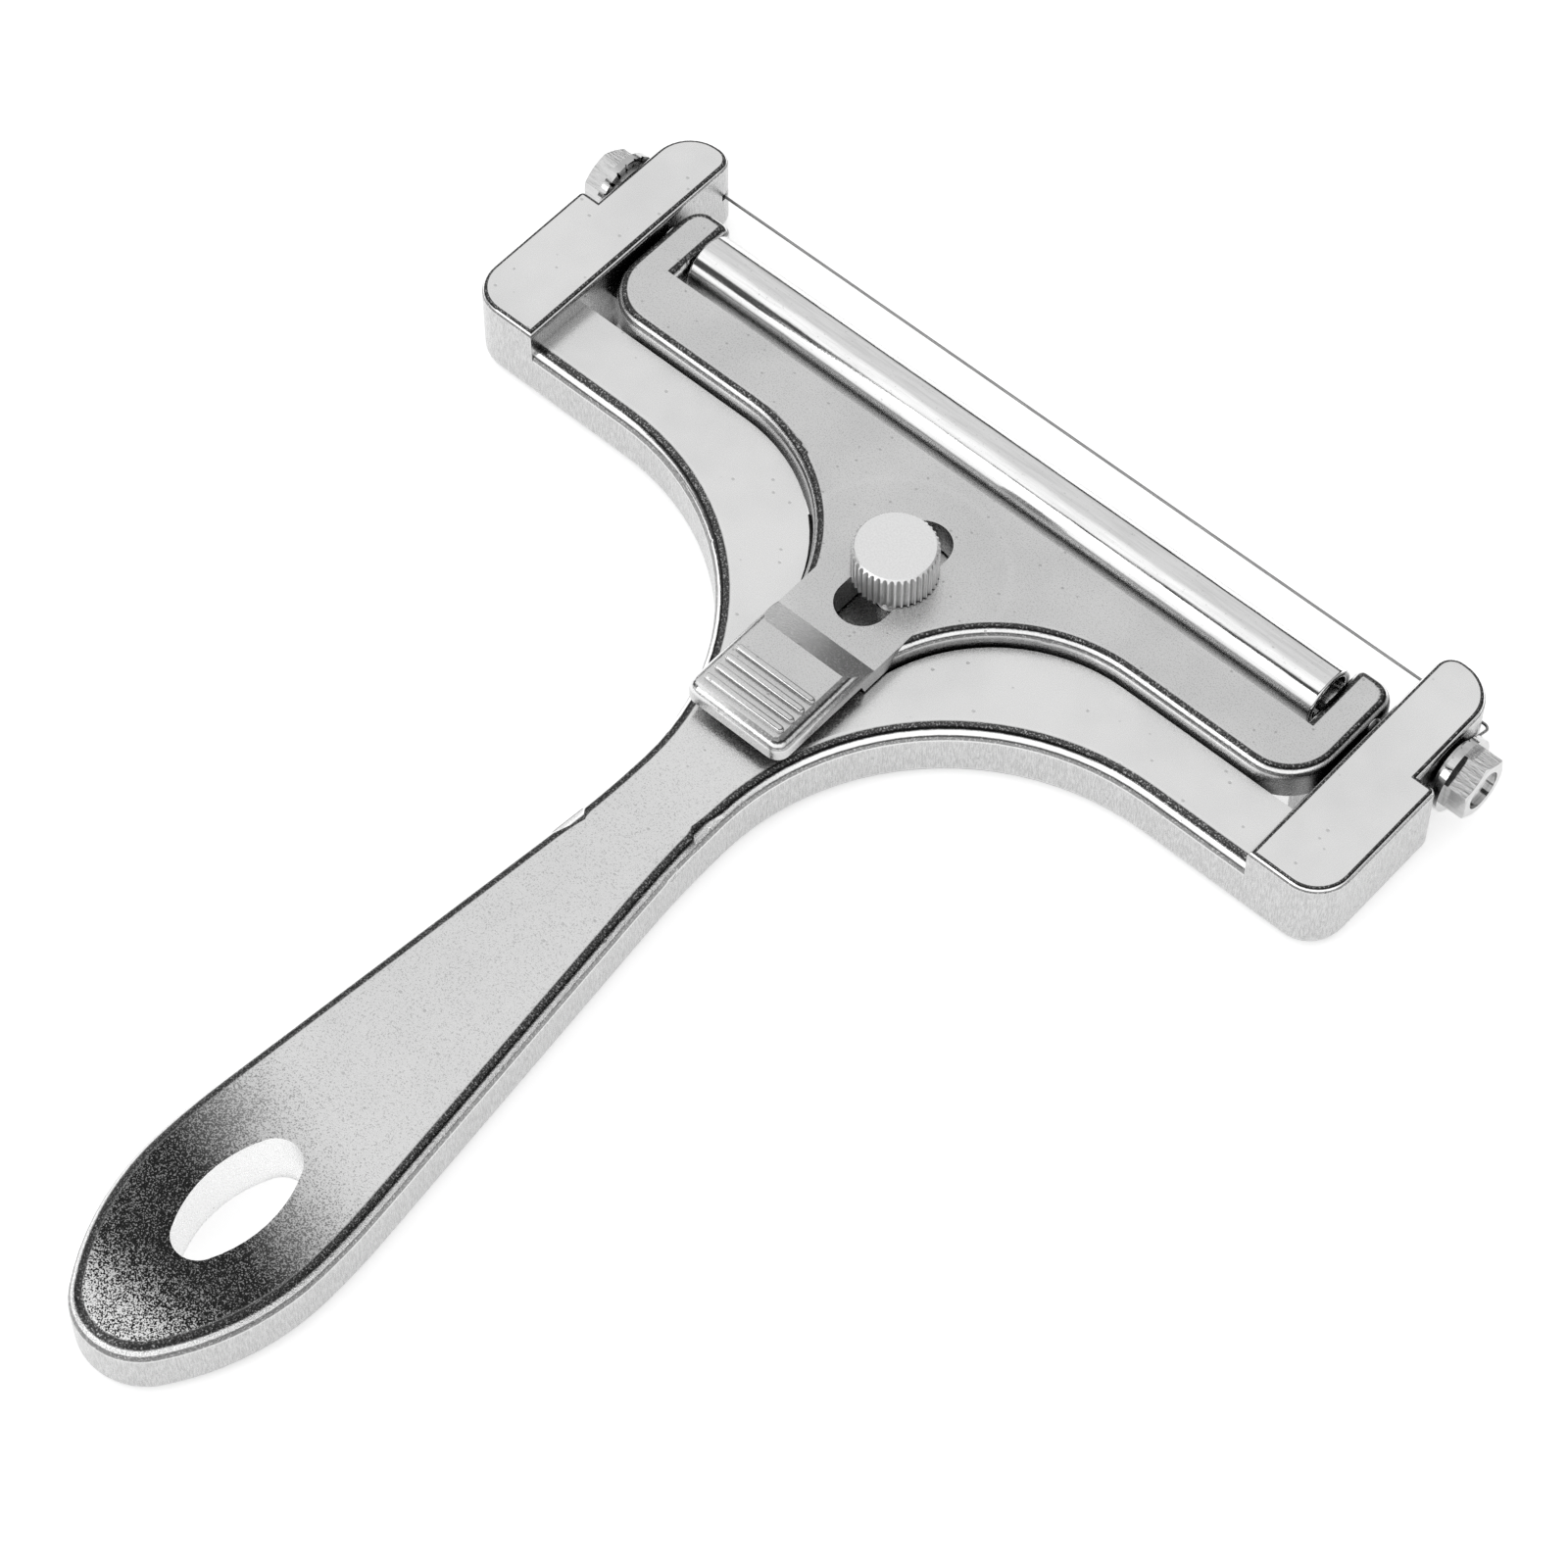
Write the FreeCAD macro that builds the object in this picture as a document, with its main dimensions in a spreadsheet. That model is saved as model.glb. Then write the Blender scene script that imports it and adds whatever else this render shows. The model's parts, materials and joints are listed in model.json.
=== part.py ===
"""Adjustable cheese wire cutter: a cast frame with a taut wire, and a sliding carriage with a roller.

Frame of the part: +Z up, +Y from the handle to the wire, +X to the right.
The origin is under the middle of the part, on the surface that it lies on. All sizes are millimetres.
"""
import FreeCAD, Part
import Sketcher
import math
import os
from FreeCAD import Placement, Rotation, Vector

# Driving dimensions: one spreadsheet cell each.
DIMENSIONS = {
    # frame: the whole casting
    "overall_length": 150.0,
    "ear_gap": 100.0,
    "arm_height": 8.0,
    "arm_width": 8.85,
    "arm_edge_round": 2.0,
    "base_round": 1.8,
    "arm_inner_radius": 20.4,
    "arm_outer_radius": 30.6,
    "neck_half_width": 6.1,
    "nest_depth": 2.8,
    # frame: handle
    "belly_half_width": 11.8,
    "belly_from_end": 20.5,
    "nose_radius": 7.6,
    "flare_share": 1.2,
    "flare_split": 0.6,
    "hang_half_width": 4.2,
    "hang_half_length": 8.15,
    "hang_end_radius": 2.9,
    "hang_from_end": 20.5,
    # frame: ears
    "ear_length": 33.6,
    "ear_width": 9.9,
    "ear_height": 11.0,
    "ear_edge_round": 0.8,
    "ear_corner_radius": 4.5,
    "ear_tip_outer_radius": 4.9,
    "ear_tip_inner_radius": 2.2,
    "seat_depth": 2.4,
    "seat_length": 14.6,
    "seat_corner_radius": 0.8,
    # frame: web under the carriage
    "web_height": 5.8,
    "web_half_width": 14.0,
    "web_front_gap": 19.0,
    "rail_width": 4.0,
    "rail_behind_tip": 20.6,
    "rail_length": 11.6,
    # carriage
    "slide_gap": 0.3,
    "nest_gap": 0.4,
    "plate_thickness": 4.4,
    "plate_edge_round": 1.4,
    "plate_corner_radius": 6.5,
    "plate_rear_rise": 3.4,
    "fork_side_gap": 0.6,
    "fork_prong_width": 5.3,
    "fork_tip_reach": 4.6,
    "fork_outer_corner": 2.6,
    "fork_inner_corner": 1.0,
    "notch_behind_roller": 1.25,
    "slot_width": 6.2,
    "slot_length": 16.2,
    "slot_behind_screw": 8.3,
    # thumb tab
    "tab_half_width": 6.7,
    "tab_length": 15.0,
    "tab_rise": 1.6,
    "tab_thickness": 2.5,
    "tab_ramp_length": 3.6,
    "tab_root_length": 1.5,
    "tab_lip_radius": 1.3,
    "tab_corner_radius": 1.6,
    "rib_length": 10.8,
    "rib_width": 0.85,
    "rib_height": 0.5,
    "rib_edge_round": 0.3,
    "rib_pitch": 1.62,
    "rib_from_front": 2.1,
    "rib_count": 4.0,
    # roller
    "roller_radius": 3.7,
    "roller_wall": 0.8,
    "roller_end_gap": 0.4,
    "roller_to_wire": 9.8,
    "axle_radius": 1.5,
    "axle_overhang": 0.2,
    "axle_chamfer": 0.3,
    "bush_length": 5.0,
    "bush_recess": 3.0,
    "running_clearance": 0.06,
    # thumb screw
    "screw_to_wire": 28.8,
    "knob_radius": 4.75,
    "knob_height": 4.6,
    "knob_edge_chamfer": 0.4,
    "knob_lift_gap": 0.1,
    "flute_radius": 0.28,
    "flute_count": 40.0,
    "stud_radius": 2.0,
    "stud_into_knob": 3.0,
    "stud_above_base": 0.8,
    "thread_pitch": 0.7,
    "thread_depth": 0.35,
    # wire and its screws
    "wire_radius": 0.17,
    "wire_inset": 1.95,
    "wire_height": 6.0,
    "wire_bend_radius": 0.8,
    "wire_wrap_turn": 265.0,
    "wire_slot_width": 0.9,
    "wire_screw_inset": 8.9,
    "wire_screw_height": 6.4,
    "washer_radius": 3.5,
    "washer_thickness": 0.6,
    "flange_radius": 4.5,
    "flange_thickness": 0.9,
    "hex_across_flats": 6.4,
    "hex_height": 2.7,
    "hex_dish_radius": 2.3,
    "hex_dish_depth": 0.5,
    "shank_radius": 2.0,
    "shank_length": 6.2,
    "bore_beyond_shank": 0.6,
    "thread_fit": 0.02,
    "tooth_count": 20.0,
    "tooth_depth": 0.25,
    "tooth_half_width": 0.4,
}


class Size:
    """A number together with the spreadsheet formula that it comes from."""

    def __init__(self, number, formula):
        self.number = number
        self.formula = formula

    def _join(self, other, sign, number):
        text = other.formula if isinstance(other, Size) else repr(float(other))
        return Size(number, f"({self.formula} {sign} {text})")

    def __add__(self, other):
        return self._join(other, "+", self.number + number_of(other))

    def __sub__(self, other):
        return self._join(other, "-", self.number - number_of(other))

    def __mul__(self, other):
        return self._join(other, "*", self.number * number_of(other))

    def __truediv__(self, other):
        return self._join(other, "/", self.number / number_of(other))

    def __neg__(self):
        return self * -1.0


def number_of(value):
    return value.number if isinstance(value, Size) else float(value)


def near(value, target):
    return abs(value - target) < 0.01


def fixed(number):
    return Size(float(number), repr(float(number)))


def root(value):
    return Size(math.sqrt(value.number), f"sqrt({value.formula})")


def cosine(angle):
    return Size(math.cos(math.radians(angle.number)), f"cos({angle.formula})")


def sine(angle):
    return Size(math.sin(math.radians(angle.number)), f"sin({angle.formula})")


def angle_of(rise, run):
    ratio = rise / run
    return Size(math.degrees(math.atan(ratio.number)), f"atan({ratio.formula})")


class Layout:
    """The driving dimensions as Size values, and the places that several pieces share."""

    def __init__(self, doc):
        sheet = doc.addObject("Spreadsheet::Sheet", "Dims")
        for row, (name, number) in enumerate(DIMENSIONS.items(), start=1):
            sheet.set(f"A{row}", name)
            sheet.set(f"B{row}", str(number))
            sheet.setAlias(f"B{row}", name)
            setattr(self, name, Size(number, f"Dims.{name}"))
        doc.recompute()
        self.frame_places()
        self.carriage_places()
        self.wire_places()

    def frame_places(self):
        self.tip_y = self.overall_length / 2
        self.handle_end_y = -self.tip_y
        self.ear_inner_x = self.ear_gap / 2
        self.ear_outer_x = self.ear_inner_x + self.ear_width
        self.seat_x = self.ear_outer_x - self.seat_depth
        self.arm_outer_y = self.tip_y - self.ear_length
        self.arm_inner_y = self.arm_outer_y + self.arm_width
        self.inner_centre_x = self.neck_half_width + self.arm_inner_radius
        self.inner_centre_y = self.arm_inner_y - self.arm_inner_radius
        self.outer_centre_x = self.neck_half_width + self.arm_outer_radius
        self.neck_y = self.arm_outer_y - self.arm_outer_radius
        self.nest_rear_y = self.inner_centre_y - self.nest_depth
        self.belly_y = self.handle_end_y + self.belly_from_end

    def carriage_places(self):
        self.wire_y = self.tip_y - self.wire_inset
        self.roller_y = self.wire_y - self.roller_to_wire
        self.screw_y = self.wire_y - self.screw_to_wire
        self.plate_bottom = self.web_height + self.slide_gap
        self.plate_top = self.plate_bottom + self.plate_thickness
        self.axle_z = self.plate_bottom + self.plate_thickness / 2
        self.fork_outer_x = self.ear_inner_x - self.fork_side_gap
        self.fork_inner_x = self.fork_outer_x - self.fork_prong_width
        self.roller_half = self.fork_inner_x - self.roller_end_gap
        self.plate_rear_y = self.inner_centre_y + self.plate_rear_rise
        self.plate_arc_radius = self.arm_inner_radius + self.nest_gap
        beside = self.inner_centre_x - self.tab_half_width
        rise = root(self.plate_arc_radius * self.plate_arc_radius - beside * beside)
        self.tab_root_y = self.inner_centre_y + rise
        self.tab_front_y = self.plate_rear_y - self.tab_length
        self.tab_top = self.plate_top + self.tab_rise
        self.tab_underside = self.tab_top - self.tab_thickness

    def wire_places(self):
        self.wire_screw_y = self.tip_y - self.wire_screw_inset
        self.washer_x = self.seat_x + self.wire_radius * 2
        self.flange_x = self.washer_x + self.washer_thickness


def bind(thing, prop, size):
    """Sets a property to a size's number and ties it to the spreadsheet."""
    thing.setExpression(prop, size.formula)


def new_body(doc, name):
    body = doc.addObject("PartDesign::Body", name)
    body.Label = name
    return body


def sketch_on(body, role, name, offset=None):
    """A sketch on one of the body's own origin planes, moved along its normal by offset."""
    sketch = body.newObject("Sketcher::SketchObject", name)
    planes = [item for item in body.Origin.OriginFeatures if item.Role == role]
    sketch.AttachmentSupport = (planes[0], "")
    sketch.MapMode = "FlatFace"
    if offset is not None:
        bind(sketch, "AttachmentOffset.Base.z", offset)
    return sketch


def pin(sketch, geometry, end, x, y):
    """Fixes a point of the sketch at x, y from its origin."""
    for kind, axis, size in (("DistanceX", -2, x), ("DistanceY", -1, y)):
        if size.formula == "0.0":
            sketch.addConstraint(Sketcher.Constraint("PointOnObject", geometry, end, axis))
            continue
        index = sketch.addConstraint(Sketcher.Constraint(kind, -1, 1, geometry, end, size.number))
        sketch.setExpression(f"Constraints[{index}]", size.formula)


def arc_between(start, end, radius, turn):
    """The arc under half a turn from start to end that bends left (turn 1) or right (turn -1)."""
    chord = end - start
    height = math.sqrt(max(radius**2 - (chord.Length / 2) ** 2, 0.0))
    normal = Vector(-chord.y, chord.x, 0) / chord.Length
    centre = start + chord / 2 + normal * height * turn
    first, last = (start, end) if turn > 0 else (end, start)
    begin = math.atan2(first.y - centre.y, first.x - centre.x)
    finish = math.atan2(last.y - centre.y, last.x - centre.x)
    if finish < begin:
        finish += 2 * math.pi
    return Part.ArcOfCircle(Part.Circle(centre, Vector(0, 0, 1), radius), begin, finish)


def outline(sketch, corners):
    """A closed outline. A corner is (x, y) or (x, y, radius, turn), with the arc that leaves it."""
    edges = []
    for index, corner in enumerate(corners):
        after = corners[(index + 1) % len(corners)]
        start = Vector(corner[0].number, corner[1].number, 0)
        end = Vector(after[0].number, after[1].number, 0)
        if len(corner) == 2:
            geometry = sketch.addGeometry(Part.LineSegment(start, end))
            edges.append((geometry, 1, 2))
            continue
        radius, turn = corner[2], corner[3]
        geometry = sketch.addGeometry(arc_between(start, end, radius.number, turn))
        edges.append((geometry, 1, 2) if turn > 0 else (geometry, 2, 1))
        if near((end - start).Length, radius.number * 2):
            level = "Vertical" if near(start.x, end.x) else "Horizontal"
            sketch.addConstraint(Sketcher.Constraint(level, geometry, 3, geometry, 1))
            continue
        row = sketch.addConstraint(Sketcher.Constraint("Radius", geometry, radius.number))
        sketch.setExpression(f"Constraints[{row}]", radius.formula)
    for index, (geometry, first, _last) in enumerate(edges):
        before, _first, last = edges[index - 1]
        sketch.addConstraint(Sketcher.Constraint("Coincident", before, last, geometry, first))
        pin(sketch, geometry, first, corners[index][0], corners[index][1])


def mirrored(half, closing=()):
    """Both halves of an outline that is symmetric about x = 0, from its right half, bottom to top."""
    points = [corner[:2] for corner in half]
    arcs = [corner[2:] for corner in half]
    left = [(-x, y) for x, y in reversed(points)]
    left_arcs = list(reversed(arcs[:-1])) + [closing]
    return list(half) + [point + tuple(arc) for point, arc in zip(left, left_arcs)]


def circle(sketch, x, y, radius):
    centre = Vector(x.number, y.number, 0)
    geometry = sketch.addGeometry(Part.Circle(centre, Vector(0, 0, 1), radius.number))
    index = sketch.addConstraint(Sketcher.Constraint("Radius", geometry, radius.number))
    sketch.setExpression(f"Constraints[{index}]", radius.formula)
    pin(sketch, geometry, 3, x, y)


def box_outline(sketch, low_x, low_y, high_x, high_y):
    outline(sketch, [(low_x, low_y), (high_x, low_y), (high_x, high_y), (low_x, high_y)])


def pad(body, sketch, name, length, symmetric=False):
    feature = body.newObject("PartDesign::Pad", name)
    feature.Profile = sketch
    feature.Midplane = symmetric
    bind(feature, "Length", length)
    return feature


def pocket(body, sketch, name, length=None, symmetric=False, flip=False):
    """Cuts a sketch's shape: through everything, or to a depth."""
    feature = body.newObject("PartDesign::Pocket", name)
    feature.Profile = sketch
    feature.Midplane = symmetric
    feature.Reversed = flip
    if length is None:
        feature.Type = "ThroughAll"
    else:
        bind(feature, "Length", length)
    return feature


def edges_where(feature, test):
    """Names of a feature's edges whose two ends and middle all pass the test."""
    names = []
    for number, edge in enumerate(feature.Shape.Edges, start=1):
        middle = edge.valueAt((edge.FirstParameter + edge.LastParameter) / 2)
        points = [vertex.Point for vertex in edge.Vertexes] + [middle]
        if all(test(point, middle) for point in points):
            names.append(f"Edge{number}")
    return names


def fillet(doc, body, name, radius, test):
    """Rounds the edges of the body's last feature that pass the test."""
    doc.recompute()
    base = body.Tip
    names = edges_where(base, test)
    feature = body.newObject("PartDesign::Fillet", name)
    feature.Base = (base, names)
    bind(feature, "Radius", radius)
    doc.recompute()
    return feature


def chamfer(doc, body, name, size, test):
    """Bevels the edges of the body's last feature that pass the test."""
    doc.recompute()
    base = body.Tip
    names = edges_where(base, test)
    feature = body.newObject("PartDesign::Chamfer", name)
    feature.Base = (base, names)
    bind(feature, "Size", size)
    doc.recompute()
    return feature


def pointed_end(half_width, run, nose_radius):
    """The side arc that joins an outline's widest point to a nose, run away, and their tangent point."""
    side = (half_width * half_width + run * run - nose_radius * nose_radius) / (
        (half_width - nose_radius) * 2
    )
    tangent_x = nose_radius * (side - half_width) / (side - nose_radius)
    tangent_drop = nose_radius * run / (side - nose_radius)
    return side, tangent_x, tangent_drop


def handle_corners(at):
    """The right side of the handle, from its end up to the neck."""
    nose_y = at.handle_end_y + at.nose_radius
    side, tangent_x, tangent_drop = pointed_end(at.belly_half_width, at.belly_y - nose_y, at.nose_radius)
    widening = at.belly_half_width - at.neck_half_width
    length = at.neck_y - at.belly_y
    flare = angle_of(widening, length) * at.flare_share
    both_radii = (sine(flare) / cosine(flare) * length - widening) * cosine(flare) / (
        fixed(1) - cosine(flare)
    )
    flare_radius = both_radii * at.flare_split
    belly_radius = both_radii - flare_radius
    return [
        (tangent_x, nose_y - tangent_drop, side, 1),
        (at.belly_half_width, at.belly_y, belly_radius, 1),
        (
            at.belly_half_width - belly_radius * (fixed(1) - cosine(flare)),
            at.belly_y + belly_radius * sine(flare),
        ),
        (
            at.neck_half_width + flare_radius * (fixed(1) - cosine(flare)),
            at.neck_y - flare_radius * sine(flare),
            flare_radius,
            -1,
        ),
    ]


def arm_corners(at):
    """The right arm, from the neck round its outer edge and back along its inner edge."""
    return [
        (at.neck_half_width, at.neck_y, at.arm_outer_radius, -1),
        (at.outer_centre_x, at.arm_outer_y),
        (at.ear_inner_x + at.arm_edge_round, at.arm_outer_y),
        (at.ear_inner_x + at.arm_edge_round, at.arm_inner_y),
        (at.inner_centre_x, at.arm_inner_y, at.arm_inner_radius, 1),
        (at.neck_half_width, at.inner_centre_y),
        (at.neck_half_width, at.nest_rear_y),
    ]


def ear_corners(at, side):
    """One ear seen from above: the outer side steps in to a seat for the wire's screw."""
    seat_y = at.tip_y - at.seat_length
    corner, tip, inner = at.ear_corner_radius, at.ear_tip_outer_radius, at.ear_tip_inner_radius
    right = [
        (at.ear_inner_x, at.arm_outer_y),
        (at.ear_outer_x - corner, at.arm_outer_y, corner, 1),
        (at.ear_outer_x, at.arm_outer_y + corner),
        (at.ear_outer_x, seat_y - at.seat_corner_radius, at.seat_corner_radius, 1),
        (at.ear_outer_x - at.seat_corner_radius, seat_y),
        (at.seat_x, seat_y),
        (at.seat_x, at.tip_y - tip, tip, 1),
        (at.seat_x - tip, at.tip_y),
        (at.ear_inner_x + inner, at.tip_y, inner, 1),
        (at.ear_inner_x, at.tip_y - inner),
    ]
    if side > 0:
        return right
    points = [(-corner[0], corner[1]) for corner in reversed(right)]
    arcs = [corner[2:] for corner in reversed(right)]
    return [point + arc for point, arc in zip(points, arcs[1:] + arcs[:1])]


def frame(doc, at):
    """The casting: handle, neck, arms and ears, with a web and two rails under the carriage."""
    body = new_body(doc, "frame")
    casting = sketch_on(body, "XY_Plane", "CastingOutline")
    outline(casting, mirrored(handle_corners(at) + arm_corners(at), (at.nose_radius, 1)))
    pad(body, casting, "Casting", at.arm_height)
    arm_top = at.arm_height.number
    outer_y = at.arm_outer_y.number
    neck_x = at.neck_half_width.number
    rear_y = at.nest_rear_y.number

    def outside(middle):
        beside_nest = abs(middle.x) < neck_x + 0.01 and middle.y > rear_y - 0.01
        return middle.y < outer_y + 0.01 and not beside_nest

    fillet(
        doc, body, "ArmEdges", at.arm_edge_round,
        lambda point, middle: near(point.z, arm_top) and outside(middle),
    )
    ears = sketch_on(body, "XY_Plane", "EarOutlines")
    for side in (1, -1):
        outline(ears, ear_corners(at, side))
    pad(body, ears, "Ears", at.ear_height)
    web = sketch_on(body, "XY_Plane", "WebOutline")
    overlap = at.arm_edge_round
    outline(web, mirrored([
        (at.neck_half_width + overlap, at.nest_rear_y - 1),
        (at.web_half_width, at.inner_centre_y + at.nest_depth * 2),
        (at.web_half_width, at.wire_y - at.web_front_gap),
    ]))
    pad(body, web, "Web", at.web_height)
    rails = sketch_on(body, "XY_Plane", "RailOutlines")
    rear_y = at.tip_y - at.rail_behind_tip
    for side in (1, -1):
        free_x = (at.ear_inner_x - at.rail_width) * side
        root_x = (at.ear_inner_x + at.rail_width / 2) * side
        low_x, high_x = (free_x, root_x) if side > 0 else (root_x, free_x)
        box_outline(rails, low_x, rear_y, high_x, rear_y + at.rail_length)
    pad(body, rails, "Rails", at.web_height)
    return finish_frame(doc, body, at)


def finish_frame(doc, body, at):
    """Rounds the casting's outer edges and cuts its holes and slots."""
    ear_top = at.ear_height.number
    fillet(doc, body, "EarEdges", at.ear_edge_round, lambda point, middle: near(point.z, ear_top))
    outer_y, inner_x = at.arm_outer_y.number, at.ear_inner_x.number
    neck_x, rear_y = at.neck_half_width.number, at.nest_rear_y.number

    def outside(middle):
        in_throat = abs(middle.x) < inner_x + 0.01 and middle.y > outer_y + 0.01
        beside_nest = abs(middle.x) < neck_x + 0.01 and middle.y > rear_y - 1.01
        return not in_throat and not beside_nest

    fillet(
        doc, body, "BaseEdges", at.base_round,
        lambda point, middle: near(point.z, 0) and outside(middle),
    )
    hang = sketch_on(body, "XY_Plane", "HangHoleOutline")
    run = at.hang_half_length - at.hang_end_radius
    side, x, drop = pointed_end(at.hang_half_width, run, at.hang_end_radius)
    centre_y = at.handle_end_y + at.hang_from_end
    low_y, high_y = centre_y - run - drop, centre_y + run + drop
    outline(hang, [
        (x, low_y, side, 1),
        (x, high_y, at.hang_end_radius, 1),
        (-x, high_y, side, 1),
        (-x, low_y, at.hang_end_radius, 1),
    ])
    pocket(body, hang, "HangHole", symmetric=True)
    bore = sketch_on(body, "XY_Plane", "ThumbScrewBore")
    circle(bore, fixed(0), at.screw_y, at.stud_radius + at.running_clearance)
    pocket(body, bore, "ThumbScrewHole", symmetric=True)
    slot = sketch_on(body, "YZ_Plane", "WireSlotOutline")
    half = at.wire_slot_width / 2
    box_outline(
        slot,
        at.wire_y - half, at.wire_height - half, at.tip_y + at.wire_slot_width, at.wire_height + half,
    )
    pocket(body, slot, "WireSlots", symmetric=True)
    depth = at.shank_length - (at.flange_x - at.seat_x) + at.bore_beyond_shank
    for side, name in ((1, "Right"), (-1, "Left")):
        sketch = sketch_on(body, "YZ_Plane", f"WireScrewBore{name}", (at.seat_x - depth) * side)
        circle(sketch, at.wire_screw_y, at.wire_screw_height, at.shank_radius + at.thread_fit)
        pocket(body, sketch, f"WireScrewHole{name}", depth + 1, flip=side > 0)
    return body


def carriage_corners(at):
    """The right half of the plate and its fork, from the rear round to the roller's notch."""
    radius = at.plate_arc_radius
    drop = at.plate_rear_y - at.inner_centre_y
    rear_x = at.inner_centre_x - root(radius * radius - drop * drop)
    low_y = at.inner_centre_y + radius
    corner, outer, inner = at.plate_corner_radius, at.fork_outer_corner, at.fork_inner_corner
    tip_y = at.roller_y + at.fork_tip_reach
    return [
        (rear_x, at.plate_rear_y, radius, -1),
        (at.inner_centre_x, low_y),
        (at.fork_outer_x - corner, low_y, corner, 1),
        (at.fork_outer_x, low_y + corner),
        (at.fork_outer_x, tip_y - outer, outer, 1),
        (at.fork_outer_x - outer, tip_y),
        (at.fork_inner_x + inner, tip_y, inner, 1),
        (at.fork_inner_x, tip_y - inner),
        (at.fork_inner_x, at.roller_y - at.roller_radius - at.notch_behind_roller),
    ]


def tab_corners(at):
    """The tab's side profile: a root in the plate, a ramp, a flat top and a lip that turns down."""
    ramp_y = at.plate_rear_y - at.tab_ramp_length
    lip = at.tab_lip_radius
    clear_z = at.arm_height + at.slide_gap
    return [
        (at.tab_root_y, clear_z),
        (at.tab_root_y, at.plate_top),
        (at.plate_rear_y, at.plate_top),
        (ramp_y, at.tab_top),
        (at.tab_front_y + lip, at.tab_top, lip, 1),
        (at.tab_front_y, at.tab_top - lip),
        (at.tab_front_y, at.tab_underside),
        (ramp_y + at.tab_rise, at.tab_underside),
        (at.plate_rear_y - at.tab_root_length, clear_z),
    ]


def carriage(doc, at):
    """The sliding plate: fork for the roller, slot for the thumb screw and ribbed thumb tab."""
    body = new_body(doc, "roller_carriage")
    plate = sketch_on(body, "XY_Plane", "PlateOutline", at.plate_bottom)
    outline(plate, mirrored(carriage_corners(at)))
    pad(body, plate, "Plate", at.plate_thickness)
    tab = sketch_on(body, "YZ_Plane", "TabProfile")
    outline(tab, tab_corners(at))
    pad(body, tab, "Tab", at.tab_half_width * 2, symmetric=True)
    half_tab, front_y = at.tab_half_width.number, at.tab_front_y.number
    underside = at.tab_underside.number
    fillet(
        doc, body, "TabCorners", at.tab_corner_radius,
        lambda point, middle: near(abs(point.x), half_tab)
        and near(point.y, front_y)
        and underside - 0.01 < middle.z,
    )
    return finish_carriage(doc, body, at)


def finish_carriage(doc, body, at):
    plate_top = at.plate_top.number
    notch_y = at.roller_y.number - at.roller_radius.number - at.notch_behind_roller.number
    rear_y = at.tab_root_y.number
    prong_x = at.fork_inner_x.number

    def outer_rim(point, middle):
        in_notch = abs(middle.x) < prong_x + 0.01 and middle.y > notch_y - 0.01
        return near(point.z, plate_top) and middle.y > rear_y - 0.5 and not in_notch

    fillet(doc, body, "PlateEdges", at.plate_edge_round, outer_rim)
    slot = sketch_on(body, "XY_Plane", "SlotOutline", at.plate_bottom)
    half = at.slot_width / 2
    low_y = at.screw_y - at.slot_behind_screw + half
    high_y = low_y + at.slot_length - at.slot_width
    outline(slot, [
        (half, low_y),
        (half, high_y, half, 1),
        (-half, high_y),
        (-half, low_y, half, 1),
    ])
    pocket(body, slot, "Slot", symmetric=True)
    bore = sketch_on(body, "YZ_Plane", "AxleBore")
    circle(bore, at.roller_y, at.axle_z, at.axle_radius)
    pocket(body, bore, "AxleHoles", symmetric=True)
    for index in range(int(at.rib_count.number)):
        rib = sketch_on(body, "XY_Plane", f"RibOutline{index + 1}", at.tab_top - at.rib_height)
        middle_y = at.tab_front_y + at.rib_from_front + at.rib_pitch * index
        end, side = at.rib_width / 2, (at.rib_length - at.rib_width) / 2
        outline(rib, [
            (-side, middle_y - end),
            (side, middle_y - end, end, 1),
            (side, middle_y + end),
            (-side, middle_y + end, end, 1),
        ])
        pad(body, rib, f"Rib{index + 1}", at.rib_height * 2)
    rib_top = at.tab_top.number + at.rib_height.number
    fillet(doc, body, "RibEdges", at.rib_edge_round, lambda point, middle: near(point.z, rib_top))
    return body


def ring(doc, name, inner, outer, low_x, length, at):
    """A ring or rod on the roller's axis: inner None makes it solid."""
    body = new_body(doc, name)
    sketch = sketch_on(body, "YZ_Plane", f"{name}_section", low_x)
    circle(sketch, at.roller_y, at.axle_z, outer)
    if inner is not None:
        circle(sketch, at.roller_y, at.axle_z, inner)
    pad(body, sketch, f"{name}_length", length)
    return body


def roller_parts(doc, at):
    """The tube, a bush inside each end of it, and the axle that they turn on."""
    tube_bore = at.roller_radius - at.roller_wall
    axle_end = at.fork_outer_x + at.axle_overhang
    tube = ring(doc, "roller_tube", tube_bore, at.roller_radius, -at.roller_half, at.roller_half * 2, at)
    axle = ring(doc, "roller_axle", None, at.axle_radius, -axle_end, axle_end * 2, at)
    reach = axle_end.number
    chamfer(doc, axle, "AxleEnds", at.axle_chamfer, lambda point, middle: near(abs(point.x), reach))
    pieces = [tube, axle]
    bush_bore = at.axle_radius + at.running_clearance
    outer_end = at.roller_half - at.bush_recess
    for word, low_x in (("right", outer_end - at.bush_length), ("left", -outer_end)):
        pieces.append(ring(doc, f"roller_bush_{word}", bush_bore, tube_bore, low_x, at.bush_length, at))
    return pieces


def repeat_round(body, features, name, count, axis):
    """Copies features round one of a sketch's own axes."""
    pattern = body.newObject("PartDesign::PolarPattern", name)
    pattern.Originals = features
    pattern.Axis = axis
    pattern.Angle = 360
    pattern.Occurrences = int(count.number)
    bind(pattern, "Occurrences", count)
    body.Tip = pattern
    return pattern


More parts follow.
